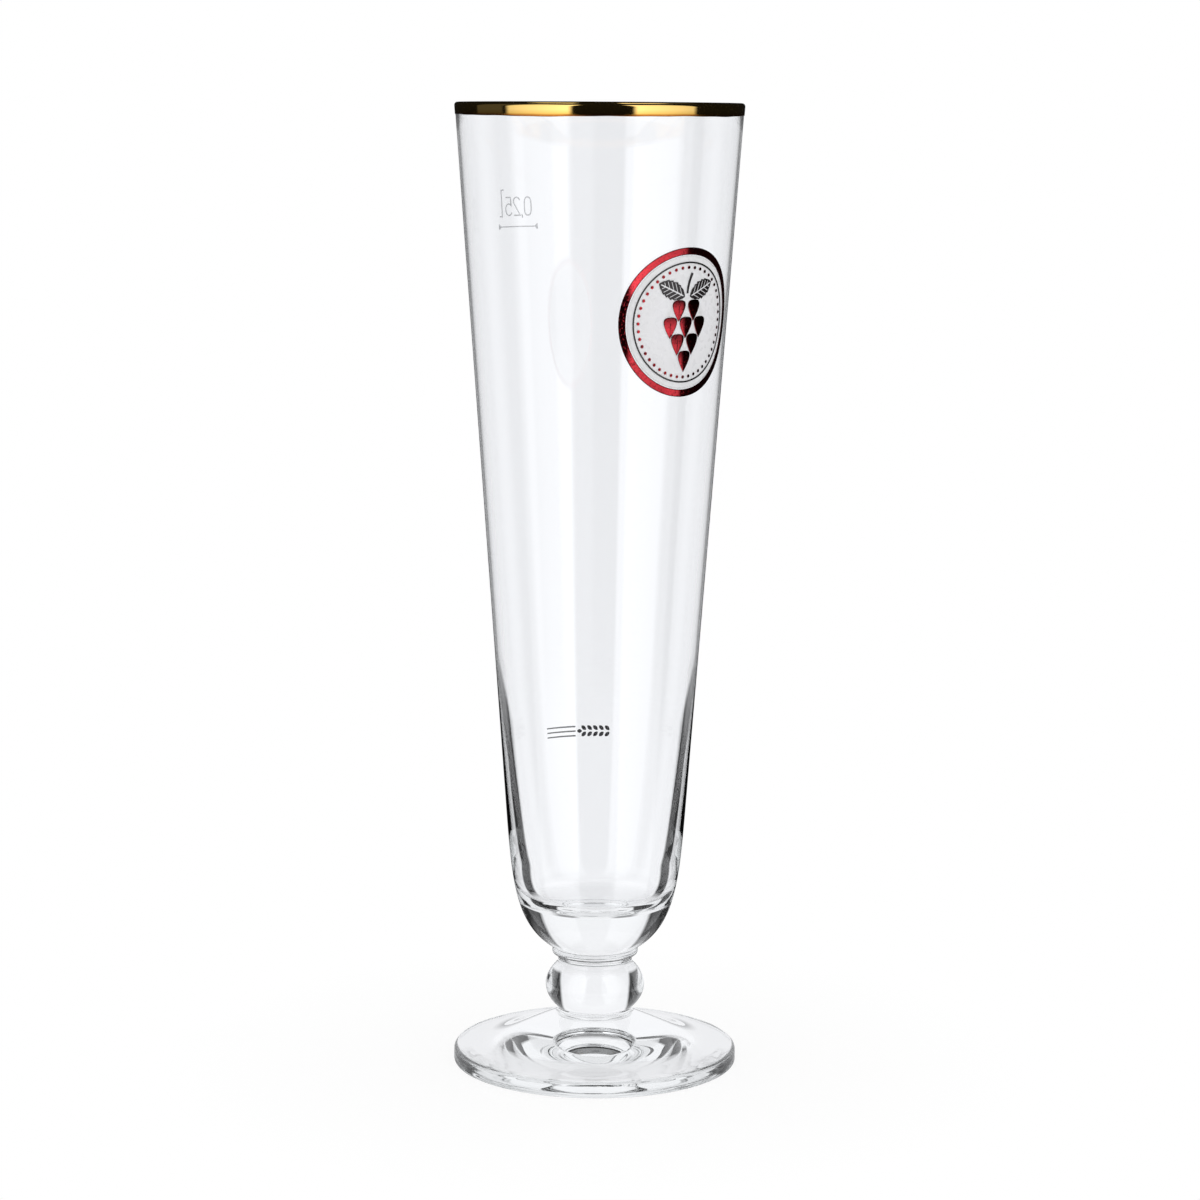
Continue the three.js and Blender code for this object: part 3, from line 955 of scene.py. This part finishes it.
class BEERGLASS_OT_badge(Operator):
    """Print the round badge with its border, field, rings, beads and hop cone"""

    bl_idname = "beer_glass.badge"
    bl_label = "Badge"

    def execute(self, context):
        """Discs, rings and pointed ovals bent round the wall; the motif lies on the field."""
        size = settings().glass
        badge = settings().badge
        band = settings().band
        finish = settings().finish
        wall = Wall(size)
        level = size.rim_level - badge.below_rim
        under = Print(wall, band, badge.heading, level)
        over = Print(wall, band, badge.heading, level, layer=1)
        lustre = red_lustre(finish)
        white = enamel("white_enamel", finish.white, speck=0.96, gloss=0.22, milk=1.0)
        black = enamel("black_enamel", finish.black, speck=2.2, gloss=0.20, veins=finish.vein)

        border = under.ring(circle(badge.radius - badge.border / 2, steps=160), badge.border)
        add_piece("badge_border_print", [border], lustre, ("badge_border",))
        field_radius = badge.radius - badge.border - badge.border_gap
        field = under.patch(circle(field_radius, steps=160), (0.0, 0.0))
        add_piece("badge_field_print", [field], white, ("badge_field",))
        key_radius = field_radius - badge.keyline_inset - badge.keyline / 2
        keyline = over.ring(circle(key_radius, steps=128), badge.keyline)
        add_piece("badge_keyline_print", [keyline], black, ("badge_keyline",))
        self.add_beads(over, badge, field_radius - badge.bead_inset, lustre)
        self.add_hop(over, badge, lustre, black)
        return {"FINISHED"}

    def add_beads(self, over, badge, radius, material):
        """Small domed dots, evenly spaced round the field."""
        places = circle(radius, badge.bead_count)
        dot = circle(badge.bead, steps=14)
        beads = [over.patch(place + dot, place) for place in places]
        add_piece("badge_beads", beads, material)

    def add_hop(self, over, badge, lustre, black):
        """Rows of 2, 3, 2 and 1 scales that hang down, two toothed leaves and a bent stalk."""
        down = -math.pi / 2
        number = 0
        for row, many in enumerate((2, 3, 2, 1)):
            for k in range(many):
                number += 1
                base = ((k - (many - 1) / 2) * badge.scale_pitch, badge.hop_top - row * badge.row_pitch)
                outline = leaf_outline(base, down, badge.scale_length, badge.scale_width, SCALE_SWELL)
                scale = over.patch(outline, toward(base, 0.4 * badge.scale_length, down), down)
                name = f"hop_scale_print_{number}"
                add_piece(name, [scale], lustre, (f"hop_scale_{number}",))
        leaf_level = badge.hop_top + badge.leaf_offset
        sides = {"right": (1.0, badge.leaf_rise), "left": (-1.0, math.pi - badge.leaf_rise)}
        for side, (sign, direction) in sides.items():
            base = (sign * badge.leaf_offset, leaf_level)
            outline = leaf_outline(
                base, direction, badge.leaf_length, badge.leaf_width, EVEN_SWELL, teeth=7, depth=0.22,
            )
            leaf = over.patch(outline, toward(base, badge.leaf_length / 2, direction), direction)
            add_piece(f"hop_leaf_print_{side}", [leaf], black, (f"hop_leaf_{side}",))
        low = leaf_level + badge.leaf_offset
        high = low + badge.stalk_length
        stalk_steps = 14
        t = np.linspace(0.0, 1.0, stalk_steps)[:, None]
        bend = np.array((0.0, (low + high) / 2))
        tip = np.array((badge.stalk_bend, high))
        path = (1 - t) ** 2 * np.array((0.0, low)) + 2 * (1 - t) * t * bend + t * t * tip
        stalk = over.ribbon(path, badge.stalk_width * np.linspace(0.85, 1.1, stalk_steps))
        add_piece("hop_stalk_print", [stalk], black, ("hop_stalk",))


class BEERGLASS_OT_barley(Operator):
    """Print the ear of barley on the back of the wall"""

    bl_idname = "beer_glass.barley"
    bl_label = "Ear of barley"

    def execute(self, context):
        """Two rows of leaning grains, a tip grain and straight awns."""
        size = settings().glass
        ear = settings().barley
        finish = settings().finish
        wall = Wall(size)
        spot = Print(wall, settings().band, ear.heading, wall.shoulder_level + ear.above_shoulder)
        navy = enamel("navy_enamel", finish.navy, speck=1.8, gloss=0.30, shine=0.1)

        def grain(name, base, direction, long):
            outline = leaf_outline(base, direction, long, ear.grain_width)
            film = spot.patch(outline, toward(base, long / 2, direction), direction)
            add_piece(f"{name}_print", [film], navy, (name,))

        start = -ear.pairs * ear.pitch / 2
        for k in range(ear.pairs):
            x = start + k * ear.pitch
            grain(f"barley_grain_upper_{k + 1}", (x, ear.row_gap / 2), ear.lean, ear.grain_length)
            grain(f"barley_grain_lower_{k + 1}", (x, -ear.row_gap / 2), -ear.lean, ear.grain_length)
        tip = start + ear.pairs * ear.pitch - ear.row_gap
        grain("barley_grain_tip", (tip, 0.0), 0.0, ear.tip_length)

        awn_start = tip + ear.tip_length + ear.awn_clearance
        awn_steps = 16
        for k in range(ear.awns):
            y = ((ear.awns - 1) / 2 - k) * ear.awn_spacing
            path = straight((awn_start, y), (awn_start + ear.awn_length, y), awn_steps)
            awn = spot.ribbon(path, ear.awn_width * np.linspace(1.1, 0.85, awn_steps))
            add_piece(f"barley_awn_print_{k + 1}", [awn], navy, (f"barley_awn_{k + 1}",))
        return {"FINISHED"}


class BEERGLASS_OT_fill_mark(Operator):
    """Print the fill line and the capacity figures over it"""

    bl_idname = "beer_glass.fill_mark"
    bl_label = "Fill mark"

    def execute(self, context):
        """A level band that flares at both ends, and figures drawn as strokes."""
        size = settings().glass
        mark = settings().fill
        finish = settings().finish
        wall = Wall(size)
        level = wall.floor_level + mark.above_floor
        spot = Print(wall, settings().band, mark.heading, level)
        grey = enamel("grey_enamel", finish.grey, speck=0.85, gloss=0.45, cover=0.48)

        end = mark.line_length / 2
        tick = end - mark.tick_width
        flare = tick - (mark.tick_height - mark.line_width) / 2
        half = np.concatenate([np.linspace(0.0, flare, 14), [tick, end]])
        x = np.concatenate([-half[::-1], half[1:]])
        widths = (mark.line_width, mark.line_width, mark.tick_height, mark.tick_height)
        wide = np.interp(np.abs(x), (0.0, flare, tick, end), widths)
        line = spot.ribbon(np.stack([x, 0.0 * x], axis=1), wide)
        add_piece("fill_line_print", [line], grey, ("fill_line",))
        add_piece("capacity_figures", self.figures(spot, mark), grey)
        return {"FINISHED"}

    def figures(self, spot, mark):
        """The strokes of 0,25 l: a squarish loop, and open runs of arcs and lines, set out from the middle.

        The loop is (x, y) = middle + half size * sign(c) |c|^p, for c the cosine or the sine of a turn.
        """
        h = mark.figure_height
        w = mark.figure_width
        s = mark.stroke
        x = (w - s) / 2
        low = mark.figure_rise + s / 2
        high = mark.figure_rise + h - s / 2
        middle = (low + high) / 2

        turn = full_turn(44)
        loop = np.stack([np.cos(turn), np.sin(turn)], axis=1)
        squarish = 0.72
        loop = np.sign(loop) * np.abs(loop) ** squarish
        nought = np.array((-1.6 * w, middle)) + loop * np.array((x, (high - low) / 2))
        comma = straight((-0.80 * w, low + 0.06 * h), (-0.88 * w, low - 0.14 * h), steps=4)

        two_x = -0.14 * w
        two_corner = (two_x - x, low)
        two_arc = ellipse((two_x, high - x), x, x, math.radians(165), math.radians(-32), steps=22)
        two = joined(
            two_arc,
            straight(two_arc[-1], two_corner, steps=8),
            straight(two_corner, (two_x + x, low), steps=6),
        )

        five_x = 1.06 * w
        five_corner = (five_x - 0.8 * x, high)
        belly = 0.30 * h
        belly_middle = (five_x - 0.1 * x, low + belly)
        five_arc = ellipse(belly_middle, 1.1 * x, belly, math.radians(140), math.radians(-150), steps=26)
        five = joined(
            straight((five_x + 0.85 * x, high), five_corner, steps=5),
            straight(five_corner, five_arc[0], steps=6),
            five_arc,
        )

        ell_x = 2.1 * w
        ell_low = low - 0.05 * h
        ell_high = high + 0.38 * h
        serif = 0.42 * w
        ell = joined(
            straight((ell_x - serif, ell_high), (ell_x, ell_high), steps=4),
            straight((ell_x, ell_high), (ell_x, ell_low), steps=10),
            straight((ell_x, ell_low), (ell_x + serif, ell_low), steps=4),
        )
        strokes = [spot.ribbon(path, s) for path in (comma, two, five, ell)]
        return [spot.ring(nought, s)] + strokes


# The floor round the foot. A pair is where something starts and where it is full. Shallow light is told by
# how far it is from straight down, and two walls by how often light has crossed the skin of the glass.
FLOOR_LEVEL = -0.02 * MM
FLOOR_SOFT = 10 * MM
# Where the painted shadow under the foot starts to fade, and where it is gone.
PAINTED_SHADOW_SPAN = (25 * MM, 80 * MM)
SHADOW_START = 40 * MM
SHALLOW = (0.70, 0.80)
TWO_WALLS = 4

# Directions in the studio, in degrees. A pair is where something is gone and where it is full. Cards, strips
# and backdrop are measured from straight behind, side cards and boxes from the front, tops from level.
CARD_INNER_EDGE = (-2.0, 2.0)
CARD_OUTER_EDGE = (4.0, -4.0)
CARD_TOP = (50.0, 42.0)
CARD_FOOT = (-50.0, -42.0)
CARD_STEP = (10.5, 12.5)
CARD_FLARE = 2.5
CARD_FLARE_LEAST = -10.0
CARD_FLARE_MOST = 25.0
STRIP_TOP = (4.0, 0.0)
STRIP_LOW = (-12.0, -18.0)
STRIP_START = 9.0
STRIP_START_LOW = 24.0
STRIP_END = 21.0
STRIP_END_LOW = 50.0
STRIP_DARK = 0.70
STRIP_DARK_LOW = 0.98
STRIP_INNER_EDGE = (-2.0, 2.0)
STRIP_OUTER_EDGE = (3.0, -3.0)
SIDE_CARDS = ((69.0, 95.0), (294.0, 320.0), (355.0, 381.0))
SIDE_CARD_SOFT = 2.0
SIDE_CARD_FOOT = (-23.0, -15.0)
SIDE_CARD_TOP = (44.0, 36.0)
CEILING = (52.0, 60.0)
CEILING_DARK = 0.75
RIGHT_BOX = ((26.0, 30.0), (83.0, 79.0))
LEFT_BOX = ((21.0, 25.0), (80.0, 76.0))
BOX_TOP = (66.0, 58.0)
BOX_DIMS = (28.0, 78.0)
BOX_FALL = 0.7
LEFT_GLOW = ((82.0, 84.0), (114.0, 112.0))
LEFT_GLOW_LIGHT = 0.06
ROOM_LIGHT = 0.008
BACKDROP_LIGHT = 0.95
BACKDROP_MIDDLE = (5.0, 3.0)
BACKDROP_FOOT = (-3.0, 5.0)
BACKDROP_SIDES = (75.0, 55.0)
SWEEP_SIDES = (80.0, 60.0)


class BEERGLASS_OT_stage(Operator):
    """Set the pale floor, the white sweep with its dark cards and light boxes, and the camera"""

    bl_idname = "beer_glass.stage"
    bl_label = "Stage"

    def execute(self, context):
        scene = context.scene
        stage = settings().stage
        self.add_floor(scene, stage)
        self.light_studio(scene, stage)
        self.set_camera(scene, stage)
        scene.view_settings.view_transform = "Standard"
        scene.cycles.max_bounces = 28
        scene.cycles.glossy_bounces = 16
        scene.cycles.transmission_bounces = 24
        return {"FINISHED"}

    def add_floor(self, scene, stage):
        """A flat disc just under the foot: the points (R cos a, R sin a) of its rim."""
        sides = 96
        rim = np.full((sides, 3), FLOOR_LEVEL)
        rim[:, :2] = circle(stage.floor_radius, sides)
        mesh = bpy.data.meshes.new("floor")
        mesh.from_pydata(rim.tolist(), [], [list(range(sides))])
        floor = bpy.data.objects.new("floor", mesh)
        scene.collection.objects.link(floor)
        mesh.materials.append(self.floor_finish(stage))

    def floor_finish(self, stage):
        """Pale matt floor with the glass's shadow, lifted towards white for the camera.

        In the glass it is a pale glowing patch round the foot, with a painted shadow that darkens it towards
        the foot and painted shade where the glass mirrors it steeply, and the sweep shows further out. The
        patch is wider and paler where the glass mirrors it at a shallow angle. Light that came straight
        through one thin wall, from high up, sees the bare sweep.
        """
        material, bench = new_material("studio_floor")
        matt = bench.add("ShaderNodeBsdfPrincipled", None, {
            "Base Color": solid([stage.floor_white] * 3),
            "Roughness": 0.3,
            "Specular IOR Level": 0.08,
        })
        camera, through, glossy, ray_length, turns = bench.rays(
            "Is Camera Ray", "Is Transmission Ray", "Is Glossy Ray", "Ray Length", "Glossy Depth",
        )
        place = bench.add("ShaderNodeTexCoord")
        span = bench.add("ShaderNodeVectorMath", {"operation": "LENGTH"}, {0: place.outputs["Object"]})
        distance = bench.signal(span, "Value")
        facing = bench.signal(bench.add("ShaderNodeLayerWeight", None, {"Blend": 0.5}), "Facing")

        mirrored = 1.0 - through
        shallow = mirrored * facing.rise(*SHALLOW)
        # Painted shade: the floor that the glass mirrors steeply glows darker, as if shaded by the foot.
        mirror_painted_shade = shallow * (1.0 - stage.painted_mirror_shade) + stage.painted_mirror_shade
        # Painted shadow: the floor seen through the glass glows darker towards the foot.
        white = distance.rise(*PAINTED_SHADOW_SPAN) * (1.0 - stage.painted_shadow_white) + stage.painted_shadow_white
        # The floor in the glass is a glowing patch whose strength carries the painted shadow and the painted
        # shade.
        patch = bench.glow(stage.sky, white * (through + mirrored * mirror_painted_shade))

        drop = ray_length * (1.0 - facing)
        from_high = drop.rise(stage.wall_level - FLOOR_SOFT, stage.wall_level)
        one_wall = through * (1.0 - turns.reached(1)) * from_high
        nothing = bench.add("ShaderNodeBsdfTransparent").outputs[0]
        beyond = bench.mix(one_wall, nothing, bench.glow(stage.sky, 1.0))
        reach = shallow * stage.mirror_reach + stage.near_reach
        in_glass = bench.mix((distance - reach).rise(-FLOOR_SOFT, FLOOR_SOFT), patch, beyond)

        far = distance.rise(SHADOW_START, stage.shadow_reach)
        lift = camera * (stage.floor_lift + far * (1.0 - stage.floor_lift))
        bare = bench.mix(lift, matt.outputs[0], bench.glow(PLAIN_WHITE, 1.0))
        surface = bench.mix(through.most(glossy), bare, in_glass)
        bench.add("ShaderNodeOutputMaterial", None, {"Surface": surface})
        return material

    def light_studio(self, scene, stage):
        """A white sweep all round, with dark cards and light boxes that only the glass and the gold show.

        Light that went straight through two thin walls sees the bare sweep. Light that went through the
        solid base, the knop or the foot sees the dark cards. Mirrored light sees the boxes, and on polished
        glass the sweep behind it. The light that falls on the prints and the floor is plain white.
        """
        world = bpy.data.worlds.new("studio")
        world.use_nodes = True
        scene.world = world
        bench = Bench(world.node_tree)
        x, y, z = bench.split(bench.add("ShaderNodeTexCoord").outputs["Generated"])
        heading = x.math("ARCTAN2", x, y * -1.0) * DEGREES
        elevation = z.math("ARCSINE", z) * DEGREES
        turned = heading % 360.0
        behind = abs(turned - 180.0)
        through, glossy, crossings, turns, polished, scatters = bench.rays(
            "Is Transmission Ray", "Is Glossy Ray", "Transmission Depth", "Glossy Depth", "Is Singular Ray",
            "Diffuse Depth",
        )
        bounced = glossy * (1.0 - through)
        thin_walls = crossings.reached(TWO_WALLS)
        turned_back = turns.reached(1)
        lit = scatters.reached(1)

        dark = self.dark_cards(stage, turned, behind, elevation, turned_back)
        backdrop = elevation.rise(*BACKDROP_FOOT) * behind.rise(*BACKDROP_SIDES)
        backdrop = behind.rise(*BACKDROP_MIDDLE).most(backdrop)
        mirrored = self.light_boxes(stage, heading, elevation).most(BACKDROP_LIGHT * backdrop * polished)
        clear = (1.0 - turned_back) + turned_back * mirrored.most(behind.rise(*SWEEP_SIDES))
        seen_through = thin_walls * clear + (1.0 - thin_walls) * (1.0 - dark * stage.card_dark)
        plain = 1.0 - through - bounced
        strength = plain + through * seen_through + bounced * mirrored
        strength = strength * (1.0 - lit) + lit
        tint = bench.blend(through.most(bounced), solid(PLAIN_WHITE), solid(stage.sky))
        light = bench.add("ShaderNodeBackground", None, {"Color": tint, "Strength": strength})
        bench.add("ShaderNodeOutputWorld", None, {"Surface": light.outputs[0]})

    def dark_cards(self, stage, turned, behind, elevation, turned_back):
        """How dark a direction is: two cards behind the glass, whose outer edges lean out as they rise.

        Two strips nearer the middle take their place for light that turned back low in a wall, and lie
        further out below. Three tall cards stand at the sides and the front, and the ceiling is dim.
        """
        inner = math.degrees(stage.card_start)
        shift = math.degrees(stage.card_turned) - inner
        start = turned_back * elevation.rise(*CARD_STEP) * shift + inner
        flare = (elevation * CARD_FLARE).most(CARD_FLARE_LEAST).least(CARD_FLARE_MOST)
        end = flare + math.degrees(stage.card_end)
        pair = (behind - start).rise(*CARD_INNER_EDGE) * (behind - end).rise(*CARD_OUTER_EDGE)
        pair = pair * elevation.rise(*CARD_TOP)

        low = elevation.rise(*STRIP_LOW)
        strip_start = (STRIP_START_LOW - STRIP_START) * low + STRIP_START
        strip_end = (STRIP_END_LOW - STRIP_END) * low + STRIP_END
        strip_dark = (STRIP_DARK_LOW - STRIP_DARK) * low + STRIP_DARK
        strip = (behind - strip_start).rise(*STRIP_INNER_EDGE) * (behind - strip_end).rise(*STRIP_OUTER_EDGE)
        in_wall = turned_back * elevation.rise(*STRIP_TOP)
        dark = (pair * (1.0 - in_wall) + strip * strip_dark * in_wall) * elevation.rise(*CARD_FOOT)

        for near, far in SIDE_CARDS:
            half = (far - near) / 2
            off = abs((turned - (near + half) + 180.0) % 360.0 - 180.0)
            side = off.rise(half + SIDE_CARD_SOFT, half - SIDE_CARD_SOFT)
            dark = dark.most(side * elevation.between(SIDE_CARD_FOOT, SIDE_CARD_TOP))
        return dark.most(elevation.rise(*CEILING) * CEILING_DARK)

    def light_boxes(self, stage, heading, elevation):
        """Two boxes, right and left of the front, that dim outwards, and a glow beside the left one."""
        leftward = heading * -1.0
        boxes = heading.between(*RIGHT_BOX) + leftward.between(*LEFT_BOX)
        boxes = boxes * (stage.box_light - BOX_FALL * abs(heading).rise(*BOX_DIMS)) * elevation.rise(*BOX_TOP)
        return boxes + LEFT_GLOW_LIGHT * leftward.between(*LEFT_GLOW) + ROOM_LIGHT

    def set_camera(self, scene, stage):
        """The camera in front of the axis, tilted down, turned a little and leaning a little."""
        camera = bpy.data.cameras.new("camera")
        camera.sensor_width = 36.0
        camera.lens = stage.lens
        camera.clip_start = 0.01
        eye = bpy.data.objects.new("camera", camera)
        scene.collection.objects.link(eye)
        turn = Matrix.Rotation(-stage.camera_turn, 4, "Z")
        tilt = Matrix.Rotation(math.pi / 2 - stage.camera_tilt, 4, "X")
        roll = Matrix.Rotation(stage.camera_roll, 4, "Z")
        place = Matrix.Translation((0.0, -stage.camera_back, stage.camera_height))
        eye.matrix_world = place @ turn @ tilt @ roll
        scene.camera = eye


STEPS = (
    BEERGLASS_OT_stage,
    BEERGLASS_OT_body,
    BEERGLASS_OT_gold_band,
    BEERGLASS_OT_badge,
    BEERGLASS_OT_barley,
    BEERGLASS_OT_fill_mark,
)


class BEERGLASS_PT_panel(Panel):
    """Lists the glass's operators"""

    bl_idname = "BEERGLASS_PT_panel"
    bl_label = "Beer glass"
    bl_space_type = "VIEW_3D"
    bl_region_type = "UI"
    bl_category = "Beer Glass"

    def draw(self, context):
        for step in STEPS:
            self.layout.operator(step.bl_idname)


GROUPS = (GlassSizes, BandSizes, BadgeSizes, BarleySizes, FillSizes, Finishes, StageSettings, BeerGlass)
CLASSES = GROUPS + STEPS + (BEERGLASS_PT_panel,)


def register():
    for each in CLASSES:
        bpy.utils.register_class(each)
    bpy.types.Scene.beer_glass = PointerProperty(type=BeerGlass)


def unregister():
    del bpy.types.Scene.beer_glass
    for each in reversed(CLASSES):
        bpy.utils.unregister_class(each)


def main():
    register()
    bpy.ops.beer_glass.stage()
    bpy.ops.beer_glass.body()
    bpy.ops.beer_glass.gold_band()
    bpy.ops.beer_glass.badge()
    bpy.ops.beer_glass.barley()
    bpy.ops.beer_glass.fill_mark()


if __name__ == "__main__":
    main()
